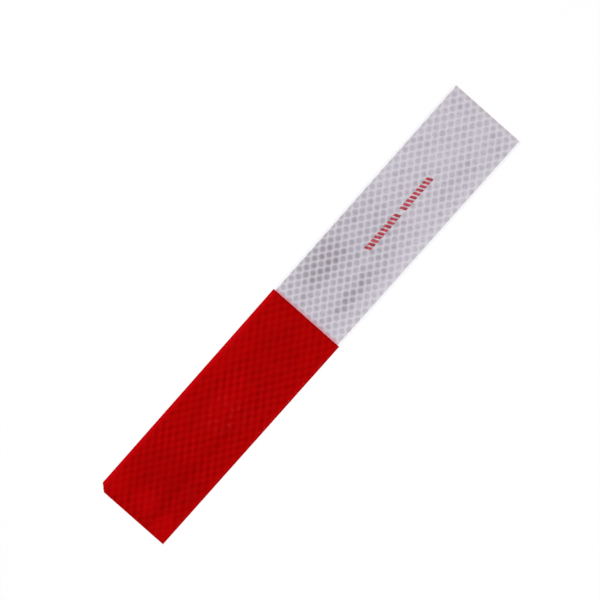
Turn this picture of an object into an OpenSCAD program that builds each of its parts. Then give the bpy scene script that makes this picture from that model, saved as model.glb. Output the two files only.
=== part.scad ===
// Strip of conspicuity tape: one sheet of prismatic reflective sheeting with a
// see-through red film over half of it, and the release liner still on its back.
// X runs along the strip towards the white end, Y across it, Z up out of the face.
// The origin is the middle of the back. All sizes are in millimetres.

/* [Strip] */
// Length of the whole strip
strip_length = 305; // [200:1:400]
// Width of the strip
strip_width = 49.5; // [40:0.5:60]
// Length of the red block, from its end to where the white block starts
red_length = 152.5; // [60:0.5:190]

/* [Layers] */
// Thickness of the release liner on the back
liner_thickness = 0.12; // [0.06:0.01:0.25]
// Thickness of the prismatic sheeting, its seal coat and adhesive with it
sheeting_thickness = 0.32; // [0.2:0.01:0.6]
// Thickness of the red film
film_thickness = 0.1; // [0.09:0.01:0.2]

/* [Sealed cells] */
// Length of one cell, from point to point along the strip
cell_length = 6.86; // [5:0.01:10]
// Width of one cell, from point to point across the strip
cell_width = 4.85; // [4:0.01:8]
// Width of the welded seam between two cells
seam_width = 1.3; // [0.6:0.1:2]
// Depth that the seam is pressed in below the cells
seam_depth = 0.07; // [0.02:0.01:0.08]
// Where the seams cross nearest the middle, along the strip
crossing_x = 0.85; // [-3:0.01:3]
// Where the seams cross nearest the middle, across the strip
crossing_y = 1.86; // [-2:0.01:2]

/* [Sealed edges] */
// Width of the plain sealed band along each long edge
band_width = 1.3; // [0.5:0.1:4]
// Depth that the band is pressed in below the cells
band_depth = 0.08; // [0.02:0.01:0.08]

/* [Clipped corner] */
// How much of the red end the cut takes, along the strip
clip_length = 3.9; // [1:0.1:8]
// How much of the red end the cut takes, across the strip
clip_width = 4.2; // [1:0.1:8]

/* [Hidden] */

red_end = -strip_length / 2;
white_end = strip_length / 2;
colour_line = red_end + red_length;
half_width = strip_width / 2;

sheeting_bottom = liner_thickness;
sheeting_top = sheeting_bottom + sheeting_thickness;
film_top = sheeting_top + film_thickness;

// Two families of seams cross at plus and minus this angle to the strip
seam_angle = atan(cell_width / cell_length);
seam_spacing = cell_length * sin(seam_angle);
seam_reach = norm([strip_length, strip_width]) / 2 + norm([crossing_x, crossing_y]);
seams_each_side = ceil(seam_reach / seam_spacing);

// The strip seen from above between two places along it, its corner cut off
module plan(from_x, to_x) {
    intersection() {
        polygon([
            [red_end + clip_length, half_width],
            [white_end, half_width],
            [white_end, -half_width],
            [red_end, -half_width],
            [red_end, half_width - clip_width]
        ]);
        translate([from_x, -half_width])
            square([to_x - from_x, strip_width]);
    }
}

// A flat layer of the strip
module layer(from_x, to_x, bottom, top) {
    translate([0, 0, bottom])
        linear_extrude(top - bottom)
            plan(from_x, to_x);
}

// A slab with one family of seams pressed into its top
module seamed_slab(angle, bottom, top) {
    places = [for (i = [-seams_each_side : seams_each_side]) i * seam_spacing];
    groove = [for (place = places) each [
        [place - seam_width / 2, top],
        [place, top - seam_depth],
        [place + seam_width / 2, top]
    ]];
    outer = (seams_each_side + 1) * seam_spacing;
    translate([crossing_x, crossing_y, 0])
        rotate([90, 0, angle + 90])
            linear_extrude(2 * outer, center = true)
                polygon(concat([[-outer, top]], groove, [[outer, top], [outer, bottom], [-outer, bottom]]));
}

// A layer whose top is divided into sealed diamond cells, between two plain bands
module cell_layer(from_x, to_x, bottom, top) {
    difference() {
        intersection() {
            layer(from_x, to_x, bottom, top);
            seamed_slab(seam_angle, bottom, top);
            seamed_slab(-seam_angle, bottom, top);
        }
        for (side = [-1, 1])
            translate([from_x - band_width, side * half_width - band_width, top - band_depth])
                cube([to_x - from_x + 2 * band_width, 2 * band_width, 2 * band_depth]);
    }
}

// Prismatic sheeting: cells on the white block, and a plain seat under the red film
module reflective_sheeting() {
    color([0.75, 0.73, 0.77]) {
        cell_layer(colour_line, white_end, sheeting_bottom, sheeting_top);
        layer(red_end, colour_line, sheeting_bottom, sheeting_top);
    }
}

// Red film over the other block, pressed with the same run of cells
module red_film() {
    color([0.66, 0.01, 0.02])
        cell_layer(red_end, colour_line, sheeting_top, film_top);
}

// Release liner that covers the adhesive until the strip is used
module release_liner() {
    color([0.93, 0.92, 0.88])
        layer(red_end, white_end, 0, liner_thickness);
}

reflective_sheeting();
red_film();
release_liner();
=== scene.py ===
# Reflective tape strip: the looks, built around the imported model
import math

import bmesh
import bpy
from mathutils import Matrix, Vector


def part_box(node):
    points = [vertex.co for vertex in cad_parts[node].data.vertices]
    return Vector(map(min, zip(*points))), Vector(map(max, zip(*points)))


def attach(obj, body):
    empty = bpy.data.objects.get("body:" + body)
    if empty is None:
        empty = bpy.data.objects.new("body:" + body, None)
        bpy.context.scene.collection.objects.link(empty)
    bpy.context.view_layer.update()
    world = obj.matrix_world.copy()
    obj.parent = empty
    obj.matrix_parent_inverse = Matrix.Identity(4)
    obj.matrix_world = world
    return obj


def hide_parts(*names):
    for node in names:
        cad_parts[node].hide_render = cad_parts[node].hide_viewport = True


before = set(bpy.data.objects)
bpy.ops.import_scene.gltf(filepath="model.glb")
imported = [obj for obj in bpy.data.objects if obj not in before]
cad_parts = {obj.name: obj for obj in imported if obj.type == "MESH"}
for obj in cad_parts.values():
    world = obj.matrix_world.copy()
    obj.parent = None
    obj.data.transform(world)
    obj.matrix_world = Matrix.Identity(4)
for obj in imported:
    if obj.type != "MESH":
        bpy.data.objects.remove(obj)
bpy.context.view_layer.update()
print("frame loaded")

mm = 0.001
near = 1e-6  # metres; points closer than this are one

# sizes in millimetres, for the strip and for the run of cells that is pressed into its face
strip = {
    "clipLength": 3.9,  # what the cut corner takes along the strip
    "clipWidth": 4.2,  # and across it
    "bandWidth": 1.3,  # plain sealed band along each long edge
    "bandDepth": 0.08,
    "bandWall": 0.1,  # width of the slope between the band and the cells
    "sharpAngle": 25,  # degrees; a turn of more than this is shaded as an edge
}

lattice = {
    "cellLength": 6.86,
    "cellWidth": 4.85,
    "crossingX": 0.85,  # where the seams cross nearest the middle
    "crossingY": 1.86,
    "seamDepth": 0.07,
    "seamStart": 0.7,  # where a cell starts to fall: 0 is its middle, 1 its seam
    "cornerPower": 4.0,  # 2 makes round cells, more makes them squarer
}

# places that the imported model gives, in metres
sheetingLow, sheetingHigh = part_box("reflective_sheeting")
filmLow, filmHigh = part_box("red_film")
redEnd = filmLow.x
colourLine = filmHigh.x
whiteEnd = sheetingHigh.x
halfWidth = sheetingHigh.y
bandLine = halfWidth - strip["bandWidth"] * mm


# helpers for node trees

nodeRows = {
    "perRow": 14,
    "step": 190,
    "drop": 260,
}


def srgb(redPart, greenPart, bluePart):
    # a colour as it looks on screen, 0 to 255, turned into the linear values that nodes take
    def linear(value):
        share = value / 255
        return share / 12.92 if share <= 0.04045 else ((share + 0.055) / 1.055) ** 2.4

    return (linear(redPart), linear(greenPart), linear(bluePart), 1.0)


def feed(socket, value):
    # gives a socket a value, or a link where the value is another node's socket
    if isinstance(value, bpy.types.NodeSocket):
        socket.id_data.links.new(value, socket)
    else:
        socket.default_value = value


def addNode(tree, kind, inputs=None, **settings):
    # a node laid out in rows, with its settings and its inputs
    node = tree.nodes.new(kind)
    row, column = divmod(len(tree.nodes), nodeRows["perRow"])
    node.location = (nodeRows["step"] * column, -nodeRows["drop"] * row)
    for name, value in settings.items():
        setattr(node, name, value)
    for key, value in (inputs or {}).items():
        feed(node.inputs[key], value)
    return node


def calc(tree, operation, first, second=0.0, third=0.0):
    node = addNode(tree, "ShaderNodeMath", {0: first, 1: second, 2: third}, operation=operation)
    return node.outputs[0]


def ease(tree, value, start, end, low=0.0, high=1.0):
    # goes smoothly from low to high while the value goes from start to end
    inputs = {"Value": value, "From Min": start, "From Max": end, "To Min": low, "To Max": high}
    node = addNode(tree, "ShaderNodeMapRange", inputs, interpolation_type="SMOOTHSTEP")
    return node.outputs[0]


def blendColour(tree, share, first, second):
    # the first colour at share 0, the second at 1
    node = addNode(tree, "ShaderNodeMix", {0: share, 6: first, 7: second}, data_type="RGBA")
    return node.outputs[2]


def noise(tree, place, size, detail=2.0, roughness=0.5, stretch=(1.0, 1.0, 1.0)):
    # soft noise from 0 to 1 whose lumps are about size millimetres wide
    scale = 1.0 / (size * mm)
    stretched = addNode(tree, "ShaderNodeVectorMath", {0: place, 1: stretch}, operation="MULTIPLY")
    inputs = {"Vector": stretched.outputs[0], "Scale": scale, "Detail": detail, "Roughness": roughness}
    return addNode(tree, "ShaderNodeTexNoise", inputs).outputs["Fac"]


def newGroup(name, kind, inputs, outputs):
    # an empty node group with its sockets, given as name: (type, start value)
    tree = bpy.data.node_groups.new(name, kind)
    for label, (socketType, value) in inputs.items():
        socket = tree.interface.new_socket(label, in_out="INPUT", socket_type="NodeSocket" + socketType)
        if value is not None:
            socket.default_value = value
    for label, socketType in outputs.items():
        tree.interface.new_socket(label, in_out="OUTPUT", socket_type="NodeSocket" + socketType)
    return tree, addNode(tree, "NodeGroupInput"), addNode(tree, "NodeGroupOutput")


def useGroup(tree, group, inputs):
    node = addNode(tree, "ShaderNodeGroup", node_tree=group)
    for label, value in inputs.items():
        feed(node.inputs[label], value)
    return node


# the run of sealed cells, as a Geometry Nodes tree

cellMesh = {
    "detail": 11,  # points along each side of a cell
    "lean": 0.01,  # millimetres; about how far a cell's face leans, so that the gloss breaks up
    "seed": 7,
}


def cellTree():
    inputs = {
        "Geometry": ("Geometry", None),
        "Middle X": ("Float", 0.0),
        "Middle Y": ("Float", 0.0),
        "Columns": ("Int", 3),
        "Rows": ("Int", 3),
        "Cell Length": ("Float", 0.007),
        "Cell Width": ("Float", 0.005),
        "Face Height": ("Float", 0.0),
        "Seam Depth": ("Float", 0.0),
        "Seam Start": ("Float", 0.6),
        "Corner Power": ("Float", 3.0),
        "Lean": ("Float", 0.0),
        "Detail": ("Int", 9),
        "Seed": ("Int", 0),
        "Material": ("Material", None),
    }
    tree, given, result = newGroup("sealedCells", "GeometryNodeTree", inputs, {"Geometry": "Geometry"})
    given = given.outputs

    # one cell: a square grid, its points crowded towards the seams, turned into a rhomb
    square = addNode(tree, "GeometryNodeMeshGrid", {
        "Size X": 2.0, "Size Y": 2.0, "Vertices X": given["Detail"], "Vertices Y": given["Detail"]})
    spot = addNode(tree, "GeometryNodeInputPosition").outputs[0]
    quarterTurn = (math.pi / 2,) * 3
    turned = addNode(tree, "ShaderNodeVectorMath", {0: spot, 1: quarterTurn}, operation="MULTIPLY")
    crowded = addNode(tree, "ShaderNodeVectorMath", {0: turned.outputs[0]}, operation="SINE").outputs[0]
    kept = addNode(tree, "GeometryNodeStoreNamedAttribute", {
        "Geometry": square.outputs["Mesh"], "Name": "cellSpot", "Value": crowded},
        data_type="FLOAT_VECTOR", domain="POINT")
    sides = addNode(tree, "ShaderNodeSeparateXYZ", {0: namedVector(tree, "cellSpot")}).outputs
    along = calc(tree, "MULTIPLY", calc(tree, "ADD", sides[0], sides[1]),
                 calc(tree, "DIVIDE", given["Cell Length"], 4.0))
    across = calc(tree, "MULTIPLY", calc(tree, "SUBTRACT", sides[1], sides[0]),
                  calc(tree, "DIVIDE", given["Cell Width"], 4.0))
    rhombPlace = addNode(tree, "ShaderNodeCombineXYZ", {0: along, 1: across})
    rhomb = addNode(tree, "GeometryNodeSetPosition", {
        "Geometry": kept.outputs[0], "Position": rhombPlace.outputs[0]})

    # the cells' middles: two grids of points, the second set half a cell on both ways
    columnSteps = calc(tree, "SUBTRACT", given["Columns"], 1.0)
    rowSteps = calc(tree, "SUBTRACT", given["Rows"], 1.0)
    fieldLength = calc(tree, "MULTIPLY", columnSteps, given["Cell Length"])
    fieldWidth = calc(tree, "MULTIPLY", rowSteps, given["Cell Width"])
    points = addNode(tree, "GeometryNodeMeshGrid", {
        "Size X": fieldLength, "Size Y": fieldWidth,
        "Vertices X": given["Columns"], "Vertices Y": given["Rows"]}).outputs["Mesh"]
    join = addNode(tree, "GeometryNodeJoinGeometry")
    for halfAlong, halfAcross in ((0.5, 0.0), (0.0, 0.5)):
        moveX = calc(tree, "MULTIPLY_ADD", given["Cell Length"], halfAlong, given["Middle X"])
        moveY = calc(tree, "MULTIPLY_ADD", given["Cell Width"], halfAcross, given["Middle Y"])
        move = addNode(tree, "ShaderNodeCombineXYZ", {0: moveX, 1: moveY})
        moved = addNode(tree, "GeometryNodeTransform", {
            "Geometry": points, "Translation": move.outputs[0]})
        tree.links.new(moved.outputs[0], join.inputs[0])

    # every cell is the same rhomb with a lean of its own
    placed = addNode(tree, "GeometryNodeInstanceOnPoints", {
        "Points": join.outputs[0], "Instance": rhomb.outputs[0]})
    chance = addNode(tree, "FunctionNodeRandomValue", {
        "Min": (-0.5, -0.5, 0.0), "Max": (0.5, 0.5, 0.0), "Seed": given["Seed"]},
        data_type="FLOAT_VECTOR")
    leaning = addNode(tree, "GeometryNodeStoreNamedAttribute", {
        "Geometry": placed.outputs[0], "Name": "cellLean", "Value": chance.outputs[0]},
        data_type="FLOAT_VECTOR", domain="INSTANCE")
    real = addNode(tree, "GeometryNodeRealizeInstances", {"Geometry": leaning.outputs[0]})

    # the face falls from the flat of the cell to its seams
    lean = namedVector(tree, "cellLean")
    sides = addNode(tree, "ShaderNodeSeparateXYZ", {0: namedVector(tree, "cellSpot")}).outputs
    reach = []
    for side in sides[:2]:
        reach.append(calc(tree, "POWER", calc(tree, "ABSOLUTE", side), given["Corner Power"]))
    spread = calc(tree, "POWER", calc(tree, "ADD", reach[0], reach[1]),
                  calc(tree, "DIVIDE", 1.0, given["Corner Power"]))
    fall = ease(tree, spread, given["Seam Start"], 1.0)
    # and it leans within the cell, with its highest point left at the face height
    tip = addNode(tree, "ShaderNodeVectorMath", {
        0: namedVector(tree, "cellSpot"), 1: lean}, operation="DOT_PRODUCT").outputs["Value"]
    leanSize = addNode(tree, "ShaderNodeVectorMath", {0: lean}, operation="ABSOLUTE").outputs[0]
    leanSides = addNode(tree, "ShaderNodeSeparateXYZ", {0: leanSize}).outputs
    mostTip = calc(tree, "MULTIPLY", calc(tree, "ADD", leanSides[0], leanSides[1]), given["Seam Start"])
    dip = calc(tree, "MAXIMUM", calc(tree, "ADD", tip, mostTip), 0.0)
    dip = calc(tree, "MULTIPLY", dip, given["Lean"])
    dip = calc(tree, "MULTIPLY", dip, calc(tree, "SUBTRACT", 1.0, fall))
    drop = calc(tree, "MULTIPLY", fall, given["Seam Depth"])
    height = calc(tree, "SUBTRACT", given["Face Height"], drop)
    height = calc(tree, "SUBTRACT", height, dip)
    lift = addNode(tree, "ShaderNodeCombineXYZ", {2: height})
    shaped = addNode(tree, "GeometryNodeSetPosition", {
        "Geometry": real.outputs[0], "Offset": lift.outputs[0]}).outputs[0]
    shaped = addNode(tree, "GeometryNodeMergeByDistance", {
        "Geometry": shaped, "Distance": near}).outputs[0]
    for label in ("cellSpot", "cellLean"):
        shaped = addNode(tree, "GeometryNodeRemoveAttribute", {
            "Geometry": shaped, "Name": label}).outputs[0]
    shaped = addNode(tree, "GeometryNodeSetShadeSmooth", {"Geometry": shaped}).outputs[0]
    painted = addNode(tree, "GeometryNodeSetMaterial", {
        "Geometry": shaped, "Material": given["Material"]}).outputs[0]
    feed(result.inputs["Geometry"], painted)
    return tree


def namedVector(tree, label):
    node = addNode(tree, "GeometryNodeInputNamedAttribute", {"Name": label}, data_type="FLOAT_VECTOR")
    return node.outputs["Attribute"]


def oddCount(span, step):
    # points that cover the span with some to spare on both sides, with one in the middle
    return 2 * math.ceil(span / step / 2 + 1) + 1


def cellField(name, fromX, toX, faceHeight, material):
    # the run of cells between two places along the strip, as a plain mesh
    cellLength = lattice["cellLength"] * mm
    cellWidth = lattice["cellWidth"] * mm
    crossing = lattice["crossingX"] * mm
    stepsToMiddle = round(((fromX + toX) / 2 - crossing) / cellLength)
    piece = bpy.data.objects.new(name, bpy.data.meshes.new(name))
    bpy.context.scene.collection.objects.link(piece)
    modifier = piece.modifiers.new("cells", "NODES")
    modifier.node_group = cellGroup
    values = {
        "Middle X": crossing + stepsToMiddle * cellLength,
        "Middle Y": lattice["crossingY"] * mm,
        "Columns": oddCount(toX - fromX, cellLength),
        "Rows": oddCount(2 * halfWidth, cellWidth),
        "Cell Length": cellLength,
        "Cell Width": cellWidth,
        "Face Height": faceHeight,
        "Seam Depth": lattice["seamDepth"] * mm,
        "Seam Start": lattice["seamStart"],
        "Corner Power": lattice["cornerPower"],
        "Lean": cellMesh["lean"] * mm,
        "Detail": cellMesh["detail"],
        "Seed": cellMesh["seed"],
        "Material": material,
    }
    for item in cellGroup.interface.items_tree:
        if item.in_out == "INPUT" and item.name in values:
            modifier[item.identifier] = values[item.name]
    depsgraph = bpy.context.evaluated_depsgraph_get()
    mesh = bpy.data.meshes.new_from_object(piece.evaluated_get(depsgraph))
    piece.modifiers.remove(modifier)
    piece.data = mesh
    mesh.name = name
    return piece


# trimming a run of cells into one closed sheet

def cutAlong(bm, point, normal, trim=True):
    # cuts the mesh along an upright plane, and drops what lies where the normal points
    everything = bm.verts[:] + bm.edges[:] + bm.faces[:]
    bmesh.ops.bisect_plane(bm, geom=everything, dist=near, plane_co=point, plane_no=normal,
                           clear_outer=trim)


def cutOutline(bm, fromX, toX):
    cutAlong(bm, (fromX, 0, 0), (-1, 0, 0))
    cutAlong(bm, (toX, 0, 0), (1, 0, 0))
    cutAlong(bm, (0, halfWidth, 0), (0, 1, 0))
    cutAlong(bm, (0, -halfWidth, 0), (0, -1, 0))
    # the clipped corner, which only the red block reaches
    clipLength = strip["clipLength"] * mm
    clipWidth = strip["clipWidth"] * mm
    cutAlong(bm, (redEnd + clipLength, halfWidth, 0), (-clipWidth, clipLength, 0))


def pressBands(bm, faceHeight):
    # the plain bands along the long edges lie lower than the cells
    wallEnd = bandLine + strip["bandWall"] * mm
    for side in (-1, 1):
        cutAlong(bm, (0, side * bandLine, 0), (0, side, 0), trim=False)
        cutAlong(bm, (0, side * wallEnd, 0), (0, side, 0), trim=False)
    for vert in bm.verts:
        if abs(vert.co.y) > wallEnd - near:
            vert.co.z = faceHeight - strip["bandDepth"] * mm


def addSeat(bm, seatHeight):
    # the sheeting runs on under the film, as one plain face from the colour line to the red end
    line = [edge for edge in bm.edges if edge.is_boundary
            and all(abs(vert.co.x - colourLine) < near for vert in edge.verts)]
    made = bmesh.ops.extrude_edge_only(bm, edges=line)["geom"]
    raised = [item for item in made if isinstance(item, bmesh.types.BMVert)]
    for vert in raised:
        vert.co.z = seatHeight
    raised.sort(key=lambda vert: vert.co.y)
    corners = (
        (redEnd + strip["clipLength"] * mm, halfWidth),
        (redEnd, halfWidth - strip["clipWidth"] * mm),
        (redEnd, -halfWidth),
    )
    rest = [bm.verts.new((x, y, seatHeight)) for x, y in corners]
    bm.faces.new(raised + rest)


def closeBelow(bm, bottom):
    # walls from the rim down to the bottom, and one face under it all
    rim = [edge for edge in bm.edges if edge.is_boundary]
    made = bmesh.ops.extrude_edge_only(bm, edges=rim)["geom"]
    for item in made:
        if isinstance(item, bmesh.types.BMVert):
            item.co.z = bottom
    bmesh.ops.remove_doubles(bm, verts=bm.verts[:], dist=near)
    bmesh.ops.dissolve_degenerate(bm, dist=near, edges=bm.edges[:])
    bmesh.ops.holes_fill(bm, edges=[edge for edge in bm.edges if edge.is_boundary])
    bmesh.ops.recalc_face_normals(bm, faces=bm.faces[:])


def makeSheet(name, fromX, toX, low, high, material, seat=False):
    piece = cellField(name, fromX, toX, high, material)
    bm = bmesh.new()
    bm.from_mesh(piece.data)
    cutOutline(bm, fromX, toX)
    pressBands(bm, high)
    if seat:
        addSeat(bm, high)
    closeBelow(bm, low)
    for face in bm.faces:
        face.smooth = True
        face.material_index = 0
    bm.to_mesh(piece.data)
    bm.free()
    piece.data.materials.clear()
    piece.data.materials.append(material)
    piece.data.set_sharp_from_angle(angle=math.radians(strip["sharpAngle"]))
    return piece


# looks that both colours share

def cellPatternGroup():
    # where a point lies in its sealed cell, and what chance gives that cell
    inputs = {
        "Position": ("Vector", None),
        "Cell Length": ("Float", lattice["cellLength"] * mm),
        "Cell Width": ("Float", lattice["cellWidth"] * mm),
        "Crossing X": ("Float", lattice["crossingX"] * mm),
        "Crossing Y": ("Float", lattice["crossingY"] * mm),
    }
    outputs = {
        "Away": "Float",  # metres from the cell's middle
        "Rising": "Float",  # 0 in the cell's middle, 1 on its seams that rise to the right
        "Falling": "Float",  # the same for the seams that fall to the right
        "Tone": "Float",  # one chance value for each cell
        "Tint": "Color",  # and one chance colour
        "Cell Middle": "Vector",
    }
    tree, given, result = newGroup("cellPattern", "ShaderNodeTree", inputs, outputs)
    given = given.outputs
    place = addNode(tree, "ShaderNodeSeparateXYZ", {0: given["Position"]}).outputs
    along = calc(tree, "SUBTRACT", place[0], given["Crossing X"])
    along = calc(tree, "DIVIDE", along, given["Cell Length"])
    across = calc(tree, "SUBTRACT", place[1], given["Crossing Y"])
    across = calc(tree, "DIVIDE", across, given["Cell Width"])
    counts = [calc(tree, "SUBTRACT", along, across), calc(tree, "ADD", along, across)]
    cells = [calc(tree, "FLOOR", count) for count in counts]
    reach = []
    for count in counts:
        offMiddle = calc(tree, "SUBTRACT", calc(tree, "FRACT", count), 0.5)
        reach.append(calc(tree, "MULTIPLY", calc(tree, "ABSOLUTE", offMiddle), 2.0))
    cellNumber = addNode(tree, "ShaderNodeCombineXYZ", {0: cells[0], 1: cells[1]})
    chance = addNode(tree, "ShaderNodeTexWhiteNoise", {"Vector": cellNumber.outputs[0]})
    middle = [calc(tree, "ADD", cell, 0.5) for cell in cells]
    middleX = calc(tree, "MULTIPLY_ADD", calc(tree, "ADD", middle[0], middle[1]),
                   calc(tree, "DIVIDE", given["Cell Length"], 2.0), given["Crossing X"])
    middleY = calc(tree, "MULTIPLY_ADD", calc(tree, "SUBTRACT", middle[1], middle[0]),
                   calc(tree, "DIVIDE", given["Cell Width"], 2.0), given["Crossing Y"])
    cellMiddle = addNode(tree, "ShaderNodeCombineXYZ", {0: middleX, 1: middleY})
    offX = calc(tree, "SUBTRACT", place[0], middleX)
    offY = calc(tree, "SUBTRACT", place[1], middleY)
    away = calc(tree, "SQRT", calc(tree, "MULTIPLY_ADD", offX, offX, calc(tree, "MULTIPLY", offY, offY)))
    feed(result.inputs["Away"], away)
    feed(result.inputs["Rising"], reach[0])
    feed(result.inputs["Falling"], reach[1])
    feed(result.inputs["Tone"], chance.outputs["Value"])
    feed(result.inputs["Tint"], chance.outputs["Color"])
    feed(result.inputs["Cell Middle"], cellMiddle.outputs[0])
    return tree


# how soft the ovals are: squares of the share of its reach where one starts and where it is full
patchFade = {
    "start": 1.2,
    "full": 0.2,
}


def softPatchGroup():
    # a soft oval: 1 in its middle, 0 outside it
    inputs = {
        "Position": ("Vector", None),
        "Middle X": ("Float", 0.0),
        "Middle Y": ("Float", 0.0),
        "Reach X": ("Float", 0.01),
        "Reach Y": ("Float", 0.01),
    }
    tree, given, result = newGroup("softPatch", "ShaderNodeTree", inputs, {"Mask": "Float"})
    given = given.outputs
    place = addNode(tree, "ShaderNodeSeparateXYZ", {0: given["Position"]}).outputs
    total = 0.0
    for axis, letter in enumerate("XY"):
        off = calc(tree, "SUBTRACT", place[axis], given["Middle " + letter])
        share = calc(tree, "DIVIDE", off, given["Reach " + letter])
        total = calc(tree, "MULTIPLY_ADD", share, share, total)
    feed(result.inputs["Mask"], ease(tree, total, patchFade["start"], patchFade["full"]))
    return tree


def patchSum(tree, position, patches):
    # adds up soft ovals, each given as middle x, middle y, reach x, reach y and strength
    total = 0.0
    for middleX, middleY, reachX, reachY, strength in patches:
        oval = useGroup(tree, softPatch, {
            "Position": position, "Middle X": middleX * mm, "Middle Y": middleY * mm,
            "Reach X": reachX * mm, "Reach Y": reachY * mm})
        total = calc(tree, "MULTIPLY_ADD", oval.outputs["Mask"], strength, total)
    return total


# what handling leaves on a glossy face; each range is where in the noise a mark starts and is full
marks = {
    "scuffSize": 0.6,  # millimetres
    "scuffStretch": (0.25, 1.0, 1.0),  # scuffs run along the strip
    "scuffDetail": 4.0,
    "scuffRoughness": 0.7,
    "scuffRange": (0.6, 0.75),
    "hazeSize": 14.0,
    "hazeRange": (0.35, 0.7),
}


def handlingGroup():
    # fine scuffs and a faint haze, as two masks
    inputs = {
        "Position": ("Vector", None),
        "Scuff Size": ("Float", marks["scuffSize"]),
        "Haze Size": ("Float", marks["hazeSize"]),
    }
    outputs = {"Scuff": "Float", "Haze": "Float"}
    tree, given, result = newGroup("handling", "ShaderNodeTree", inputs, outputs)
    given = given.outputs
    scuffScale = calc(tree, "DIVIDE", 1.0 / mm, given["Scuff Size"])
    hazeScale = calc(tree, "DIVIDE", 1.0 / mm, given["Haze Size"])
    streaks = addNode(tree, "ShaderNodeVectorMath", {0: given["Position"], 1: marks["scuffStretch"]},
                      operation="MULTIPLY")
    scuff = addNode(tree, "ShaderNodeTexNoise", {
        "Vector": streaks.outputs[0], "Scale": scuffScale,
        "Detail": marks["scuffDetail"], "Roughness": marks["scuffRoughness"]})
    haze = addNode(tree, "ShaderNodeTexNoise", {"Vector": given["Position"], "Scale": hazeScale})
    feed(result.inputs["Scuff"], ease(tree, scuff.outputs["Fac"], *marks["scuffRange"]))
    feed(result.inputs["Haze"], ease(tree, haze.outputs["Fac"], *marks["hazeRange"]))
    return tree


cellGroup = cellTree()
cellPattern = cellPatternGroup()
softPatch = softPatchGroup()
handling = handlingGroup()
print("node groups built")


def startMaterial(name, specular):
    material = bpy.data.materials.new(name)
    material.use_nodes = True
    tree = material.node_tree
    shader = tree.nodes["Principled BSDF"]
    shader.inputs["Specular IOR Level"].default_value = specular
    position = addNode(tree, "ShaderNodeTexCoord").outputs["Object"]
    return material, tree, shader, position


def addBump(tree, shader, height, strength, depth):
    inputs = {"Height": height, "Strength": strength, "Distance": depth * mm}
    bump = addNode(tree, "ShaderNodeBump", inputs)
    feed(shader.inputs["Normal"], bump.outputs[0])


def finishFace(tree, shader, position, values, rough):
    # a gloss that haze and scuffs break up, over a fine grain
    wear = useGroup(tree, handling, {
        "Position": position, "Scuff Size": values["scuffSize"], "Haze Size": values["hazeSize"]}).outputs
    rough = calc(tree, "MULTIPLY_ADD", wear["Haze"], values["hazeRoughness"], rough)
    rough = calc(tree, "MULTIPLY_ADD", wear["Scuff"], values["scuffRoughness"], rough)
    feed(shader.inputs["Roughness"], rough)
    grain = noise(tree, position, values["grainSize"])
    addBump(tree, shader, grain, values["grainStrength"], values["grainDepth"])


def addEdges(tree, place, values, total):
    # adds what the two long edges get to what the face has already
    for side, share in ((1, values["farEdge"]), (-1, values["nearEdge"])):
        start = side * (bandLine - values["edgeReach"] * mm)
        full = side * (bandLine + values["edgeOverlap"] * mm)
        total = calc(tree, "ADD", total, ease(tree, place[1], start, full, high=share))
    return total


# the white block: silvery cells between pale seams, with white bands along the edges
# (sizes in millimetres, shares from 0 to 1)

white = {
    "paleCell": srgb(199, 193, 204),
    "deepCell": srgb(166, 160, 171),
    # the darker colour that painted shade takes the cells to
    "shadedCell": srgb(120, 113, 118),
    "seam": srgb(210, 205, 214),
    "band": srgb(246, 245, 248),
    "paintedFilmGlow": srgb(206, 140, 152),  # painted glow: pink light that the red film throws on the first cells
    "warmEnd": srgb(180, 164, 166),  # the face right beside the cut end
    "adhesive": srgb(196, 190, 176),  # seen on the cut sides alone

    # a cell's depth of tone is fine mottle, chance and a broad drift, less the start
    "mottleSize": 0.9,
    "mottleShare": 2.0,
    "toneShare": 0.3,
    "driftSize": 18.0,
    "driftShare": 0.6,
    "depthStart": 0.955,
    "tintShare": 0.011,  # how much of its chance colour a cell takes
    "shadeSpread": 0.1,  # how much the painted shade differs from cell to cell
    "shadedSeams": 0.2,  # how much of the painted shade the seams take

    # a cell gets paler away from its middle, and its seams add to that
    "paleStart": 0.6,
    "paleFull": 2.5,
    "roundShare": 0.6,
    "lineStart": 0.45,
    "lineShare": 0.24,

    # beside the film, at the cut end and along the two long edges
    # how far the painted pink glow from the red film reaches, and how strong it is
    "paintedFilmGlowReach": 2.6,
    "paintedFilmGlowShare": 0.85,
    "cutEndReach": 6.0,
    "cutEnd": 0.16,  # how much paler the cells are there
    "warmStart": 3.0,  # how far from the end the warm tone starts, and where it is full
    "warmFull": 1.0,
    "warmShare": 0.28,
    "edgeReach": 8.0,
    "edgeOverlap": 0.0,
    "farEdge": 0.03,
    "nearEdge": 0.1,
    "bandStart": 0.4,  # the band's colour starts this far inside its line
    "bandFull": 0.3,  # and is full this far past it
    "adhesiveHeight": 0.06,
    "adhesiveSoftness": 0.01,

    "specular": 0.3,
    "roughness": 0.2,
    "seamRoughness": 0.1,  # what seams, haze and scuffs add to it
    "hazeRoughness": 0.1,
    "scuffRoughness": 0.12,
    "scuffSize": 0.6,
    "hazeSize": 14.0,
    "grainSize": 0.25,
    "grainStrength": 0.08,
    "grainDepth": 0.02,

    # patches of painted shade, where the cells send less light back: middle x, middle y, reach x, reach y
    # and strength
    "shadePatches": [
        (30, 15.5, 18, 9.5, 0.24),
        (25, 9, 24, 4.2, 0.26),
        (23, -11, 15, 3.6, 0.34),
        (38, -10, 9, 6, 0.18),
        (36, 19, 34, 8, 0.14),
        (35, 4, 55, 24, 0.15),
        (46, 9, 9, 4, 0.08),
        (40, -9, 60, 4, 0.06),
        (60, 3, 22, 9, 0.09),
        (40, 3, 10, 4, 0.12),
        (73, 20, 12, 6, 0.12),
        (117, -11, 34, 3.5, 0.1),
        (136, -20, 10, 6, 0.1),
    ],
}


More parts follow.
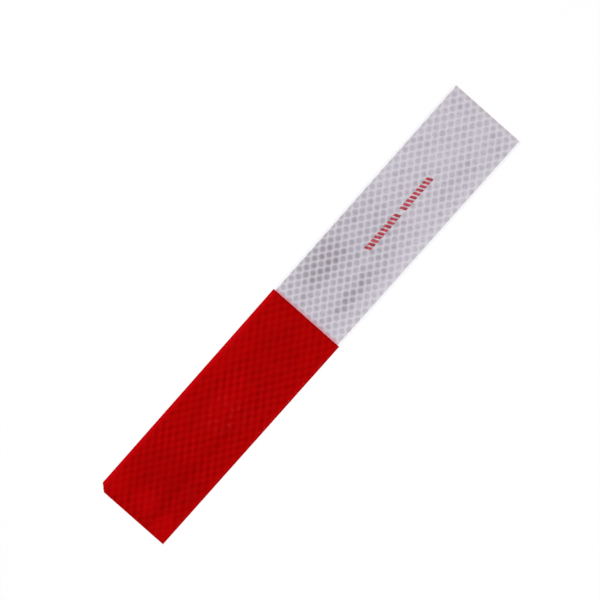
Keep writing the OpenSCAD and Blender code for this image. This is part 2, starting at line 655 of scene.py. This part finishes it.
# plain red hatching: a row of slanted bars with one left out
hatching = {
    "firstBar": 51.5,
    "bars": 20,
    "leftOut": 10,
    "pitch": 2.7,
    "barShare": 0.72,
    "halfHeight": 1.85,
    "slant": 0.45,
    "softness": 0.12,
    "ink": srgb(192, 52, 64),
    "darkInk": srgb(140, 24, 34),
    "cover": 0.92,
    "leastDepth": 0.35,  # how much of the dark ink every bar has over a cell
    "chanceShare": 0.6,  # and how much more chance may give it
}


def hatchingMask(tree, position):
    # 1 where ink lies, and a chance value for each bar
    place = addNode(tree, "ShaderNodeSeparateXYZ", {0: position}).outputs
    softness = hatching["softness"] * mm
    height = hatching["halfHeight"] * mm
    inRow = ease(tree, calc(tree, "ABSOLUTE", place[1]), height + softness, height - softness)
    slanted = calc(tree, "MULTIPLY_ADD", place[1], hatching["slant"], place[0])
    pitch = hatching["pitch"] * mm
    count = calc(tree, "DIVIDE", calc(tree, "SUBTRACT", slanted, hatching["firstBar"] * mm), pitch)
    share = calc(tree, "FRACT", count)
    edge = softness / pitch
    bar = calc(tree, "MULTIPLY",
               ease(tree, share, 0.0, 2 * edge),
               ease(tree, share, hatching["barShare"] + edge, hatching["barShare"] - edge))
    number = calc(tree, "FLOOR", count)

    # bars are whole numbers, so half a number off is a safe place to tell them apart
    shown = calc(tree, "MULTIPLY",
                 calc(tree, "GREATER_THAN", number, -0.5),
                 calc(tree, "LESS_THAN", number, hatching["bars"] - 0.5))
    offGap = calc(tree, "ABSOLUTE", calc(tree, "SUBTRACT", number, hatching["leftOut"]))
    shown = calc(tree, "MULTIPLY", shown, calc(tree, "GREATER_THAN", offGap, 0.5))
    barNumber = addNode(tree, "ShaderNodeCombineXYZ", {0: number})
    chance = addNode(tree, "ShaderNodeTexWhiteNoise", {"Vector": barNumber.outputs[0]}).outputs["Value"]
    mask = calc(tree, "MULTIPLY", calc(tree, "MULTIPLY", inRow, shown), bar)
    return mask, chance


def printHatching(tree, position, seamMask, face):
    # the ink is darker over the cells than over the seams
    ink, chance = hatchingMask(tree, position)
    overCell = calc(tree, "SUBTRACT", 1.0, seamMask)
    inkDepth = calc(tree, "MULTIPLY_ADD", chance, hatching["chanceShare"], hatching["leastDepth"])
    inkDepth = calc(tree, "MULTIPLY", overCell, inkDepth)
    inkColour = blendColour(tree, inkDepth, hatching["ink"], hatching["darkInk"])
    return blendColour(tree, calc(tree, "MULTIPLY", ink, hatching["cover"]), face, inkColour)


def whiteCells(tree, position, pattern):
    # each cell has its own tone, and painted shade darkens some of them
    mottle = noise(tree, position, white["mottleSize"], detail=3.0)
    drift = noise(tree, position, white["driftSize"], detail=1.0)
    depth = calc(tree, "MULTIPLY", mottle, white["mottleShare"])
    depth = calc(tree, "MULTIPLY_ADD", pattern["Tone"], white["toneShare"], depth)
    depth = calc(tree, "MULTIPLY_ADD", drift, white["driftShare"], depth)
    depth = calc(tree, "SUBTRACT", depth, white["depthStart"])
    colour = blendColour(tree, depth, white["paleCell"], white["deepCell"])
    # painted shade: patches of cells darkened where less light comes back from them
    paintedShade = patchSum(tree, pattern["Cell Middle"], white["shadePatches"])
    leastShade = 1 - white["shadeSpread"] / 2
    uneven = calc(tree, "MULTIPLY_ADD", pattern["Tone"], white["shadeSpread"], leastShade)
    colour = blendColour(tree, calc(tree, "MULTIPLY", paintedShade, uneven), colour, white["shadedCell"])
    return blendColour(tree, white["tintShare"], colour, pattern["Tint"]), paintedShade


def whiteSeams(tree, pattern, paintedShade, cellColour):
    # pale seams, with a little of the painted shade on them too
    seamShade = calc(tree, "MULTIPLY", paintedShade, white["shadedSeams"])
    seamColour = blendColour(tree, seamShade, white["seam"], white["shadedCell"])
    start = white["paleStart"] * mm
    full = white["paleFull"] * mm
    seamMask = ease(tree, pattern["Away"], start, full, high=white["roundShare"])
    for family in ("Rising", "Falling"):
        line = ease(tree, pattern[family], white["lineStart"], 1.0, high=white["lineShare"])
        seamMask = calc(tree, "ADD", seamMask, line)
    return blendColour(tree, seamMask, cellColour, seamColour), seamMask


def whiteEdges(tree, place, face):
    # painted pink glow from the red film beside it, paler towards the other edges, warm at the cut end,
    # and the white bands
    # painted glow: the first cells beside the film turn pink
    paintedFilmGlowEnd = colourLine + white["paintedFilmGlowReach"] * mm
    paintedFilmGlow = ease(tree, place[0], paintedFilmGlowEnd, colourLine, high=white["paintedFilmGlowShare"])
    face = blendColour(tree, paintedFilmGlow, face, white["paintedFilmGlow"])
    pale = ease(tree, place[0], whiteEnd - white["cutEndReach"] * mm, whiteEnd, high=white["cutEnd"])
    face = blendColour(tree, addEdges(tree, place, white, pale), face, white["band"])
    start = whiteEnd - white["warmStart"] * mm
    full = whiteEnd - white["warmFull"] * mm
    warm = ease(tree, place[0], start, full, high=white["warmShare"])
    face = blendColour(tree, warm, face, white["warmEnd"])
    start = bandLine - white["bandStart"] * mm
    full = bandLine + white["bandFull"] * mm
    inBand = ease(tree, calc(tree, "ABSOLUTE", place[1]), start, full)
    return blendColour(tree, inBand, face, white["band"])


def whiteMaterial():
    material, tree, shader, position = startMaterial("sealedWhite", white["specular"])
    pattern = useGroup(tree, cellPattern, {"Position": position}).outputs
    place = addNode(tree, "ShaderNodeSeparateXYZ", {0: position}).outputs
    cellColour, paintedShade = whiteCells(tree, position, pattern)
    face, seamMask = whiteSeams(tree, pattern, paintedShade, cellColour)
    face = whiteEdges(tree, place, face)
    face = printHatching(tree, position, seamMask, face)

    # the cut sides show the adhesive under the sheeting
    adhesiveTop = sheetingLow.z + white["adhesiveHeight"] * mm
    softness = white["adhesiveSoftness"] * mm
    inAdhesive = ease(tree, place[2], adhesiveTop + softness, adhesiveTop - softness)
    feed(shader.inputs["Base Color"], blendColour(tree, inAdhesive, face, white["adhesive"]))

    rough = calc(tree, "MULTIPLY_ADD", seamMask, white["seamRoughness"], white["roughness"])
    finishFace(tree, shader, position, white, rough)
    return material


# the red block: the same cells under a deep red film
# (sizes in millimetres, shares from 0 to 1, ranges from where something starts to where it is full)

red = {
    "paleCell": srgb(168, 0, 0),
    "deepCell": srgb(150, 0, 0),
    # the darker red of painted shade on the cells, also used between the stripes and for the line where
    # the film ends
    "shadedCell": srgb(138, 0, 0),
    "seam": srgb(176, 5, 6),
    "bright": srgb(192, 2, 8),
    "glint": srgb(206, 60, 64),

    # a cell's depth of red is fine mottle and chance, less the start
    "mottleSize": 0.7,
    "mottleShare": 0.5,
    "toneShare": 0.72,
    "depthStart": 0.03,

    # how much of a crossing's brightness each family of seams brings, and what a broad drift leaves
    "seamStart": 0.05,
    "risingShare": 0.6,
    "fallingShare": 0.54,
    "driftSize": 30.0,
    "risingRange": (0.3, 0.6),
    "fallingRange": (0.7, 0.4),
    "leastSeam": 0.6,

    # bright stripes along the rising seams, with darker cells between them
    "stripeDepth": 0.42,
    "stripeShine": 0.58,
    "alongStripe": (0.3, 0.95),
    "acrossStripe": (0.0, 0.8),
    "leastShine": 0.5,

    # pale lines where the seams catch light
    "glintSize": 3.0,
    "glintRange": (0.45, 0.65),
    "glintShare": 0.12,

    # light that gets in along the two long edges, and the dark line where the film ends
    "edgeReach": 3.0,
    "edgeOverlap": 0.5,
    "farEdge": 0.95,
    "nearEdge": 0.3,
    "lineStart": 1.4,
    "lineFull": 0.6,
    "lineShare": 0.5,

    "specular": 0.2,
    "roughness": 0.12,
    "hazeRoughness": 0.08,  # what haze and scuffs add to it
    "scuffRoughness": 0.12,
    "scuffSize": 0.6,
    "hazeSize": 14.0,
    "grainSize": 0.25,
    "grainStrength": 0.08,
    "grainDepth": 0.02,

    # patches, each with its middle x, middle y, reach x, reach y and strength
    # patches of painted shade on the cells
    "shadePatches": [
        (-121, 2, 18, 17, 0.2),
        (-104, -10, 34, 2.5, 0.25),
        (-20, -10, 14, 3, 0.2),
        (-140, -11, 12, 7, 0.17),
        (-56, -9, 24, 5, 0.12),
        (-78, 10, 16, 3, 0.15),
        (-24, 3, 26, 10, 0.16),
        (-112, -9, 42, 4.5, 0.14),
        (-130, -8, 10, 20, 0.08),
        (-118, -20, 13, 6, 0.18),
        (-135, 10, 9, 5, 0.1),
        (-53, 10, 13, 5, 0.1),
    ],
    "glows": [
        (-145, -18, 10, 7, 0.4),
        (-143, 19, 9, 6, 0.3),
        (-140, -1, 8, 9, 0.3),
        (-68, 4, 24, 9, 0.18),
        (-42, 20, 20, 8, 0.16),
    ],
    "stripes": [
        (-105, 14, 9, 7, 0.65),
        (-103, 1, 9, 6, 0.75),
        (-105, -13, 12, 7, 0.65),
        (-57, 7, 17, 8, 0.95),
        (-57, -11, 15, 8, 0.65),
        (-133, 0, 7, 6, 0.9),
        (-132, -11, 6, 5, 0.6),
        (-147, 6, 5, 5, 0.8),
    ],
    "glints": [
        (-73, -2, 13, 12, 1.0),
    ],
}


def redCells(tree, position, pattern, stripes):
    # each cell has its own depth of red, darker under painted shade and between stripes
    mottle = noise(tree, position, red["mottleSize"], detail=3.0)
    depth = calc(tree, "MULTIPLY_ADD", pattern["Tone"], red["toneShare"], -red["depthStart"])
    depth = calc(tree, "MULTIPLY_ADD", mottle, red["mottleShare"], depth)
    colour = blendColour(tree, depth, red["paleCell"], red["deepCell"])
    # painted shade: patches of cells darkened where less light comes back from them
    paintedShade = patchSum(tree, pattern["Cell Middle"], red["shadePatches"])
    colour = blendColour(tree, paintedShade, colour, red["shadedCell"])
    stripeDepth = calc(tree, "MULTIPLY", stripes, red["stripeDepth"])
    return blendColour(tree, stripeDepth, colour, red["shadedCell"]), paintedShade


def redSeams(tree, position, pattern, paintedShade, cellColour):
    # in places one family of seams shows more than the other
    drift = noise(tree, position, red["driftSize"], detail=1.0)
    rising = ease(tree, pattern["Rising"], red["seamStart"], 1.0, high=red["risingShare"])
    falling = ease(tree, pattern["Falling"], red["seamStart"], 1.0, high=red["fallingShare"])
    risingDrift = ease(tree, drift, *red["risingRange"], low=red["leastSeam"])
    fallingDrift = ease(tree, drift, *red["fallingRange"], low=red["leastSeam"])
    seamMask = calc(tree, "ADD",
                    calc(tree, "MULTIPLY", rising, risingDrift),
                    calc(tree, "MULTIPLY", falling, fallingDrift))
    # the seams take the painted shade too
    seamColour = blendColour(tree, paintedShade, red["seam"], red["shadedCell"])
    return blendColour(tree, seamMask, cellColour, seamColour), seamMask


def redShine(tree, position, pattern, stripes, seamMask, face):
    # bright stripes on the rising seams, and pale lines where the seams catch light
    shine = ease(tree, pattern["Rising"], *red["alongStripe"], high=red["stripeShine"])
    crossed = ease(tree, pattern["Falling"], *red["acrossStripe"], low=red["leastShine"])
    shine = calc(tree, "MULTIPLY", shine, crossed)
    face = blendColour(tree, calc(tree, "MULTIPLY", stripes, shine), face, red["bright"])
    glint = calc(tree, "MULTIPLY", patchSum(tree, position, red["glints"]), seamMask)
    scatter = noise(tree, position, red["glintSize"])
    glint = calc(tree, "MULTIPLY", glint, ease(tree, scatter, *red["glintRange"], high=red["glintShare"]))
    return blendColour(tree, glint, face, red["glint"])


def redEdges(tree, position, place, face):
    # brighter where light gets in at the edges and in a few patches, and a dark line at the film's end
    glow = addEdges(tree, place, red, patchSum(tree, position, red["glows"]))
    face = blendColour(tree, glow, face, red["bright"])
    start = colourLine - red["lineStart"] * mm
    full = colourLine - red["lineFull"] * mm
    lineMask = ease(tree, place[0], start, full, high=red["lineShare"])
    return blendColour(tree, lineMask, face, red["shadedCell"])


def redMaterial():
    material, tree, shader, position = startMaterial("redFilm", red["specular"])
    pattern = useGroup(tree, cellPattern, {"Position": position}).outputs
    place = addNode(tree, "ShaderNodeSeparateXYZ", {0: position}).outputs
    stripes = patchSum(tree, position, red["stripes"])
    cellColour, paintedShade = redCells(tree, position, pattern, stripes)
    face, seamMask = redSeams(tree, position, pattern, paintedShade, cellColour)
    face = redShine(tree, position, pattern, stripes, seamMask, face)
    feed(shader.inputs["Base Color"], redEdges(tree, position, place, face))
    finishFace(tree, shader, position, red, red["roughness"])
    return material


# the release liner: smooth cream paper with a faint fibre

liner = {
    "paper": srgb(236, 232, 221),
    "fibre": srgb(219, 214, 200),
    "fibreSize": 0.5,  # millimetres
    "fibreStretch": (0.3, 1.0, 1.0),
    "fibreRange": (0.42, 0.72),  # where in the noise the fibre's colour starts and is full
    "fibreShare": 0.7,
    "cloudSize": 9.0,
    "cloudRange": (0.4, 0.7),
    "cloudShare": 0.3,
    "specular": 0.4,
    "roughness": 0.4,
    "fibreRoughness": 0.2,  # what the fibre adds to it
    "bumpStrength": 0.25,
    "bumpDepth": 0.03,
}


def linerMaterial():
    material, tree, shader, position = startMaterial("linerPaper", liner["specular"])
    fibre = noise(tree, position, liner["fibreSize"], detail=5.0, roughness=0.65,
                  stretch=liner["fibreStretch"])
    cloudy = noise(tree, position, liner["cloudSize"])
    share = calc(tree, "MULTIPLY", ease(tree, fibre, *liner["fibreRange"]), liner["fibreShare"])
    cloudy = ease(tree, cloudy, *liner["cloudRange"])
    share = calc(tree, "MULTIPLY_ADD", cloudy, liner["cloudShare"], share)
    feed(shader.inputs["Base Color"], blendColour(tree, share, liner["paper"], liner["fibre"]))
    rough = calc(tree, "MULTIPLY_ADD", fibre, liner["fibreRoughness"], liner["roughness"])
    feed(shader.inputs["Roughness"], rough)
    addBump(tree, shader, fibre, liner["bumpStrength"], liner["bumpDepth"])
    return material


# the pieces

sheeting = makeSheet("cell_sheeting", colourLine, whiteEnd, sheetingLow.z, sheetingHigh.z,
                     whiteMaterial(), seat=True)
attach(sheeting, "root")
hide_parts("reflective_sheeting")
print("white sheeting made:", len(sheeting.data.polygons), "faces")

film = makeSheet("cell_film", redEnd, colourLine, filmLow.z, filmHigh.z, redMaterial())
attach(film, "root")
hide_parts("red_film")
print("red film made:", len(film.data.polygons), "faces")

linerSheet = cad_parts["release_liner"]
linerSheet.data.materials.clear()
linerSheet.data.materials.append(linerMaterial())
print("liner painted")


# floor, light and camera

studio = {
    "floorHalf": 40.0,  # metres
    "floorDrop": 0.02,  # millimetres that the floor lies below the strip
    "floorColour": srgb(250, 250, 251),
    "floorRoughness": 0.9,
    "nearGlow": 0.9,  # share of plain white that the camera sees in the floor round the strip
    "farGlow": 1.0,  # and far away, where the lamps don't reach
    "glowRange": (0.4, 1.6),  # metres from the middle, from the one to the other
    "horizon": 1.0,  # strength of the surround at the horizon, half way up and overhead
    "halfWay": 0.4,
    "zenith": 0.02,
    "lowFade": (0.16, 0.26),  # how far up it falls from the first to the second, 1 being overhead
    "highFade": (0.45, 0.85),
    "lampSize": 0.45,  # metres
    "lampDistance": 1.3,
    "lampElevation": 48,  # degrees
    "lamps": ((90, 9.7), (-90, 9.7)),  # heading in degrees and power in watts
}


def makeFloor():
    half = studio["floorHalf"]
    level = -studio["floorDrop"] * mm
    mesh = bpy.data.meshes.new("floor")
    corners = [(side * half, end * half, level) for side, end in ((-1, -1), (1, -1), (1, 1), (-1, 1))]
    mesh.from_pydata(corners, [], [(0, 1, 2, 3)])
    mesh.materials.append(floorMaterial())
    floor = bpy.data.objects.new("floor", mesh)
    bpy.context.scene.collection.objects.link(floor)


def floorMaterial():
    # the camera and mirrored light see it nearly plain white, and other light sees a pale matt floor
    material = bpy.data.materials.new("paleFloor")
    material.use_nodes = True
    tree = material.node_tree
    shader = tree.nodes["Principled BSDF"]
    shader.inputs["Base Color"].default_value = studio["floorColour"]
    shader.inputs["Roughness"].default_value = studio["floorRoughness"]
    shader.inputs["Specular IOR Level"].default_value = 0.0
    glow = addNode(tree, "ShaderNodeEmission", {"Strength": 1.0})
    ray = addNode(tree, "ShaderNodeLightPath").outputs
    seen = calc(tree, "MAXIMUM", ray["Is Camera Ray"],
                calc(tree, "MAXIMUM", ray["Is Glossy Ray"], ray["Is Transmission Ray"]))
    place = addNode(tree, "ShaderNodeTexCoord").outputs["Object"]
    distance = addNode(tree, "ShaderNodeVectorMath", {0: place}, operation="LENGTH").outputs["Value"]
    whiteness = ease(tree, distance, *studio["glowRange"], low=studio["nearGlow"], high=studio["farGlow"])
    share = calc(tree, "MULTIPLY", seen, whiteness)
    mix = addNode(tree, "ShaderNodeMixShader", {0: share, 1: shader.outputs[0], 2: glow.outputs[0]})
    feed(tree.nodes["Material Output"].inputs["Surface"], mix.outputs[0])
    return material


def makeWorld():
    # dark overhead and bright all round, so that the flat face stays deep in colour
    world = bpy.data.worlds.new("studio")
    bpy.context.scene.world = world
    world.use_nodes = True
    tree = world.node_tree
    heading = addNode(tree, "ShaderNodeTexCoord").outputs["Generated"]
    rise = addNode(tree, "ShaderNodeSeparateXYZ", {0: heading}).outputs[2]
    strength = ease(tree, rise, *studio["lowFade"], low=studio["horizon"], high=studio["halfWay"])
    further = ease(tree, rise, *studio["highFade"], high=studio["zenith"] - studio["halfWay"])
    strength = calc(tree, "ADD", strength, further)
    feed(tree.nodes["Background"].inputs["Strength"], strength)
    tree.nodes["Background"].inputs["Color"].default_value = (1.0, 1.0, 1.0, 1.0)


def makeLamps():
    elevation = math.radians(studio["lampElevation"])
    for heading, power in studio["lamps"]:
        turn = math.radians(heading)
        away = Vector((math.cos(turn) * math.cos(elevation), math.sin(turn) * math.cos(elevation),
                       math.sin(elevation)))
        data = bpy.data.lights.new("softLamp", "AREA")
        data.shape = "SQUARE"
        data.size = studio["lampSize"]
        data.energy = power
        lamp = bpy.data.objects.new("softLamp", data)
        bpy.context.scene.collection.objects.link(lamp)
        lamp.location = away * studio["lampDistance"]
        lamp.rotation_mode = "QUATERNION"
        lamp.rotation_quaternion = away.to_track_quat("Z", "Y")


# the camera stands over the strip and leans a little
view = {
    "lens": 60.0,
    "sensor": 36.0,
    "clip": (0.01, 20.0),  # metres
    "target": (5.115, 9.416, 0.0),  # millimetres
    "distance": 565.55,
    "roll": -48.479,  # degrees
    "tilt": 3.4325,
    "tiltHeading": 97.071,
}


def makeCamera():
    data = bpy.data.cameras.new("camera")
    data.lens = view["lens"]
    data.sensor_width = view["sensor"]
    data.clip_start, data.clip_end = view["clip"]
    camera = bpy.data.objects.new("camera", data)
    bpy.context.scene.collection.objects.link(camera)
    heading = math.radians(view["tiltHeading"])
    tiltAxis = Vector((math.cos(heading), math.sin(heading), 0.0))
    turn = Matrix.Rotation(math.radians(view["tilt"]), 4, tiltAxis)
    turn = turn @ Matrix.Rotation(math.radians(view["roll"]), 4, "Z")
    target = Vector(view["target"]) * mm
    away = turn @ Vector((0.0, 0.0, view["distance"] * mm))
    camera.matrix_world = Matrix.Translation(target + away) @ turn
    bpy.context.scene.camera = camera


makeFloor()
makeWorld()
makeLamps()
makeCamera()
bpy.context.scene.view_settings.view_transform = "Standard"
print("floor, light and camera placed")
